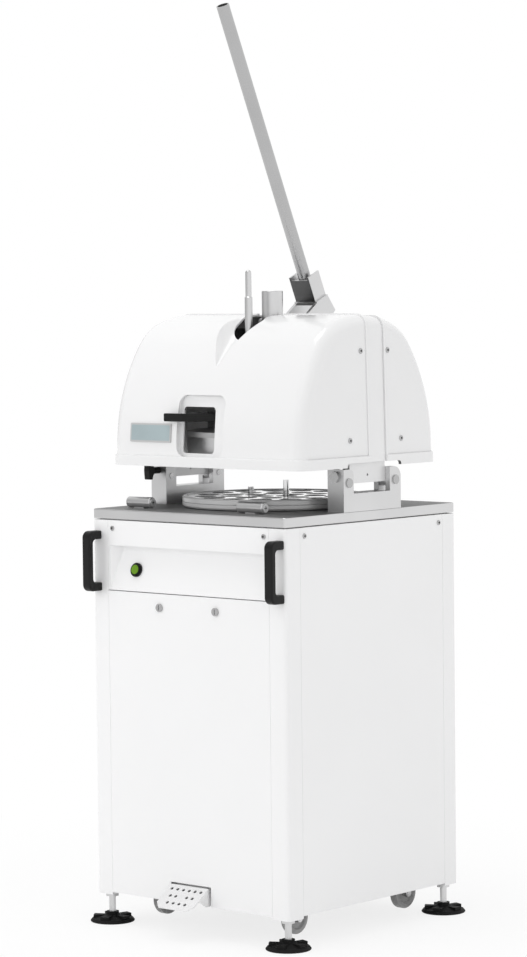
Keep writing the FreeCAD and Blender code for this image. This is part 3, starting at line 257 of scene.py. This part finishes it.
def add_second_finishes():
    # The covers' inner skin gets a dark grey: painted shade under the hood.
    for label in DRESS["moulded_white"]:
        second_finish(label, "cover_inside_painted_shade", looks_inward)
    # The tray's upward faces get the darker steel as a painted dark reflection; the rim keeps the plain
    # stainless.
    second_finish("tray", "tray_top_painted_reflection", lambda face: face.normal.z > 0.9)
    second_finish("head_yoke", "raw_casting", lambda face: abs(face.center.x) < 0.24)
    second_finish("dough_plate", "pocket_floor_painted_shade", pocket_floor_painted_shade)
    # The cross recess in each stop bar's end screw is made black: painted shade.
    second_finish("stop_bars", "socket_painted_shade", cross_recess)
    # The lever socket's faces towards the front get a near-black steel: painted shade on that side.
    second_finish("lever_socket", "steel_painted_shade", lambda face: face.normal.y < -0.5)


# Pieces too thin or too small for the CAD


def mesh_piece(name, verts, faces, material):
    mesh = bpy.data.meshes.new(name)
    mesh.from_pydata([tuple(v) for v in verts], [], faces)
    mesh.update()
    obj = bpy.data.objects.new(name, mesh)
    bpy.context.scene.collection.objects.link(obj)
    mesh.materials.append(LIBRARY[material])
    return obj


def rounded_corners(width, height, radius, steps=6):
    """Points round a rectangle with round corners, centred on the origin."""
    points = []
    for k, (sx, sy) in enumerate(((1, 1), (-1, 1), (-1, -1), (1, -1))):
        for i in range(steps + 1):
            turn = math.radians(90 * k + 90 * i / steps)
            points.append((sx * (width / 2 - radius) + radius * math.cos(turn),
                           sy * (height / 2 - radius) + radius * math.sin(turn)))
    return points


def plate(name, width, height, radius, thickness, matrix, material):
    """A thin plate with round corners in the matrix's XZ plane, its face towards -Y."""
    outline = rounded_corners(width, height, radius)
    count = len(outline)
    verts = [matrix @ Vector((x, y, z)) for y in (0, -thickness) for x, z in outline]
    faces = [tuple(range(count)), tuple(reversed(range(count, 2 * count)))]
    faces += [(i, i + count, (i + 1) % count + count, (i + 1) % count) for i in range(count)]
    return mesh_piece(name, verts, faces, material)


LABEL_X, LABEL_W, LABEL_H = -168.6, 129, 44
LABEL_FOOT, LABEL_LEAN = 1139, 4.2


def make_label():
    """The bare plate on the front cover."""
    lean = Matrix.Rotation(-math.radians(LABEL_LEAN), 4, "X")
    place = Matrix.Translation(at(LABEL_X, -243.8, LABEL_FOOT + LABEL_H / 2)) @ lean
    back = plate("label_plate", LABEL_W * MM, LABEL_H * MM, 3 * MM, 2.5 * MM, place, "bare_label")
    face_at = place @ Matrix.Translation((0, -2.5 * MM, 0))
    face = plate("label_face", (LABEL_W - 8) * MM, (LABEL_H - 8) * MM, 2 * MM, 0.3 * MM,
                 face_at, "label_face")
    for obj in (back, face):
        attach(obj, "head")


SCREW_Z = 938
PANEL_SCREWS = ([((x, 310 * s, SCREW_Z), (0, s, 0)) for s in (-1, 1) for x in (-235, 235)]
                + [((300 * s, y, SCREW_Z), (s, 0, 0)) for s in (-1, 1) for y in (-245, 245)])
COVER_LEAN = math.atan2(9, 387)
COVER_SCREWS = [((s * (295 - 9 * (z - 1083) / 387), y, z),
                 (s * math.cos(COVER_LEAN), 0, math.sin(COVER_LEAN)))
                for s in (-1, 1) for y, z in ((-26, 1350), (72, 1350), (-72, 1145), (114, 1144))]


def make_sockets(name, screws, body):
    """The hexagon sockets of a row of pan-head screws, as black insets in their heads: painted shade
    standing for the sockets' depth.
    """
    radius, low, high = 3.1 * MM, 2.3 * MM, 2.68 * MM
    corners = [(radius * math.cos(math.radians(60 * k)), radius * math.sin(math.radians(60 * k)))
               for k in range(6)]
    verts, faces = [], []
    for point, out in screws:
        place = Matrix.Translation(at(*point)) @ Vector(out).to_track_quat("Z", "Y").to_matrix().to_4x4()
        first = len(verts)
        verts += [place @ Vector((x, y, z)) for z in (low, high) for x, y in corners]
        ring = [first + k for k in range(6)]
        faces += [tuple(reversed(ring)), tuple(k + 6 for k in ring)]
        faces += [(ring[k], ring[(k + 1) % 6], ring[(k + 1) % 6] + 6, ring[k] + 6) for k in range(6)]
    obj = mesh_piece(name, verts, faces, "socket_painted_shade")
    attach(obj, body)


PEDAL_EDGE, PEDAL_TILT = (0, -312, 115), 35


def make_pedal_shade_sheet():
    """A black sheet under the perforated pedal plate: painted shade that shows dark in its holes."""
    place = (Matrix.Translation(at(*PEDAL_EDGE)) @ Matrix.Rotation(math.radians(PEDAL_TILT), 4, "X")
             @ Matrix.Translation((0, -37 * MM, -1.0 * MM)) @ Matrix.Rotation(-math.pi / 2, 4, "X"))
    shade_sheet = plate("pedal_shade_sheet", 104 * MM, 62 * MM, 12 * MM, 1.1 * MM, place, "black_rubber")
    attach(shade_sheet, "foot_pedal")


def make_spring():
    """The pedal's return spring, as a copy of the CAD coil fixed to the cabinet, the CAD node itself being
    hidden.
    """
    source = SOURCE["pedal_spring"]
    coil = bpy.data.objects.new("pedal_coil", source.data.copy())
    bpy.context.scene.collection.objects.link(coil)
    coil.matrix_world = source.matrix_world
    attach(coil, "cabinet")
    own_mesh(coil)
    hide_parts("pedal_spring")


dress_source()
add_second_finishes()
make_label()
make_sockets("panel_screw_sockets", PANEL_SCREWS, "cabinet")
make_sockets("cover_screw_sockets", COVER_SCREWS, "head")
make_pedal_shade_sheet()
make_spring()


# Floor, light and camera

CAMERA_AT = at(5108.3, -5894.7, 1509.3)
CAMERA_HEADING, CAMERA_PITCH, CAMERA_ROLL = 0.7173, 0.0593, -0.0108
CAMERA_LENS, CAMERA_SENSOR = 124.17, 36.0


def make_camera():
    data = bpy.data.cameras.new("camera")
    data.lens = CAMERA_LENS
    data.sensor_width = CAMERA_SENSOR
    data.clip_end = 60
    obj = bpy.data.objects.new("camera", data)
    bpy.context.scene.collection.objects.link(obj)
    obj.matrix_world = (Matrix.Translation(CAMERA_AT) @ Matrix.Rotation(CAMERA_HEADING, 4, "Z")
                        @ Matrix.Rotation(math.pi / 2 - CAMERA_PITCH, 4, "X")
                        @ Matrix.Rotation(CAMERA_ROLL, 4, "Z"))
    bpy.context.scene.camera = obj


def math_node(tree, operation, first, second=None):
    node = tree.nodes.new("ShaderNodeMath")
    node.operation = operation
    for socket, value in zip(node.inputs, (first, second)):
        if isinstance(value, (int, float)):
            socket.default_value = value
        elif value is not None:
            tree.links.new(value, socket)
    return node.outputs[0]


def towards(tree, direction, low, high):
    """Rises from 0 to 1 as a ray turns to face the direction, low and high being cosines."""
    coords = tree.nodes.new("ShaderNodeTexCoord")
    dot = tree.nodes.new("ShaderNodeVectorMath")
    dot.operation = "DOT_PRODUCT"
    dot.inputs[1].default_value = Vector(direction).normalized()
    tree.links.new(coords.outputs["Generated"], dot.inputs[0])
    rise = tree.nodes.new("ShaderNodeMapRange")
    rise.interpolation_type = "SMOOTHSTEP"
    rise.inputs["From Min"].default_value = low
    rise.inputs["From Max"].default_value = high
    tree.links.new(dot.outputs["Value"], rise.inputs["Value"])
    return rise.outputs["Result"]


# The dimmer parts of the studio that metal mirrors, as a direction with its low and high cosines
# and how much darker it is than the white round it: in front on the left, on the left, and above.
DIM_WALLS = (((-0.66, -0.75, 0.0), 0.3, 0.95, 0.48), ((-0.98, 0.2, 0.0), 0.8, 0.98, 0.5),
             ((0.0, 0.0, 1.0), 0.55, 0.95, 0.3))
AMBIENT = 0.84


def seen_directly(tree):
    """1 for the rays by which the camera, a mirror or glass sees the surroundings, 0 for the rest."""
    path = tree.nodes.new("ShaderNodeLightPath")
    mirrored = math_node(tree, "MAXIMUM", path.outputs["Is Glossy Ray"], path.outputs["Is Transmission Ray"])
    return math_node(tree, "MAXIMUM", path.outputs["Is Camera Ray"], mirrored), path.outputs["Is Glossy Ray"]


def make_world():
    """White to the camera and in mirrors, and an even, plain light on every surface."""
    world = bpy.data.worlds.new("studio")
    bpy.context.scene.world = world
    world.use_nodes = True
    tree = world.node_tree
    background = tree.nodes["Background"]
    background.inputs["Color"].default_value = (1, 1, 1, 1)
    seen, glossy = seen_directly(tree)
    strength = math_node(tree, "ADD", math_node(tree, "MULTIPLY", seen, 1.0 - AMBIENT), AMBIENT)
    for direction, low, high, amount in DIM_WALLS:
        wall = math_node(tree, "MULTIPLY", towards(tree, direction, low, high), amount)
        strength = math_node(tree, "SUBTRACT", strength, math_node(tree, "MULTIPLY", wall, glossy))
    tree.links.new(strength, background.inputs["Strength"])


FLOOR_SIZE, SHADOW_REACH, SHADOW_SHARE = 30.0, 1.7, 0.2


def make_floor():
    """A pale floor, white where the camera or a mirror sees it, with the object's soft shadow."""
    size = FLOOR_SIZE
    mesh = bpy.data.meshes.new("floor")
    corners = [(-size, -size, 0), (size, -size, 0), (size, size, 0), (-size, size, 0)]
    mesh.from_pydata(corners, [], [(0, 1, 2, 3)])
    floor = bpy.data.objects.new("floor", mesh)
    bpy.context.scene.collection.objects.link(floor)
    material, tree, shader = new_material("floor")
    shader.inputs["Base Color"].default_value = (0.9, 0.9, 0.9, 1)
    shader.inputs["Roughness"].default_value = 0.9
    shader.inputs["Specular IOR Level"].default_value = 0.1
    glow = tree.nodes.new("ShaderNodeEmission")
    glow.inputs["Strength"].default_value = 1.0

    coords = tree.nodes.new("ShaderNodeTexCoord")
    reach = tree.nodes.new("ShaderNodeVectorMath")
    reach.operation = "LENGTH"
    tree.links.new(coords.outputs["Object"], reach.inputs[0])
    share = tree.nodes.new("ShaderNodeMapRange")
    share.interpolation_type = "SMOOTHSTEP"
    for socket, value in (("From Min", 0.4), ("From Max", SHADOW_REACH),
                          ("To Min", 1.0 - SHADOW_SHARE), ("To Max", 1.0)):
        share.inputs[socket].default_value = value
    tree.links.new(reach.outputs["Value"], share.inputs["Value"])

    mix = tree.nodes.new("ShaderNodeMixShader")
    seen, _ = seen_directly(tree)
    tree.links.new(math_node(tree, "MULTIPLY", seen, share.outputs["Result"]), mix.inputs["Fac"])
    tree.links.new(shader.outputs["BSDF"], mix.inputs[1])
    tree.links.new(glow.outputs["Emission"], mix.inputs[2])
    tree.links.new(mix.outputs["Shader"], tree.nodes["Material Output"].inputs["Surface"])
    mesh.materials.append(material)


def area_light(name, place, target, size, power, mirrored=False):
    data = bpy.data.lights.new(name, "AREA")
    data.shape = "RECTANGLE"
    data.size, data.size_y = size
    data.energy = power
    obj = bpy.data.objects.new(name, data)
    bpy.context.scene.collection.objects.link(obj)
    obj.location = place
    obj.visible_glossy = mirrored
    obj.rotation_euler = (Vector(target) - Vector(place)).to_track_quat("-Z", "Y").to_euler()


make_camera()
make_world()
make_floor()
area_light("key", (-2.2, -4.0, 1.9), (0, 0, 0.9), (2.4, 2.4), 39)
area_light("fill", (4.4, -0.6, 2.2), (0, 0, 1.1), (2.4, 2.4), 18)
area_light("top", (-0.3, -0.5, 4.4), (0, 0, 1.3), (1.6, 1.6), 26, True)
bpy.context.scene.view_settings.view_transform = "Standard"
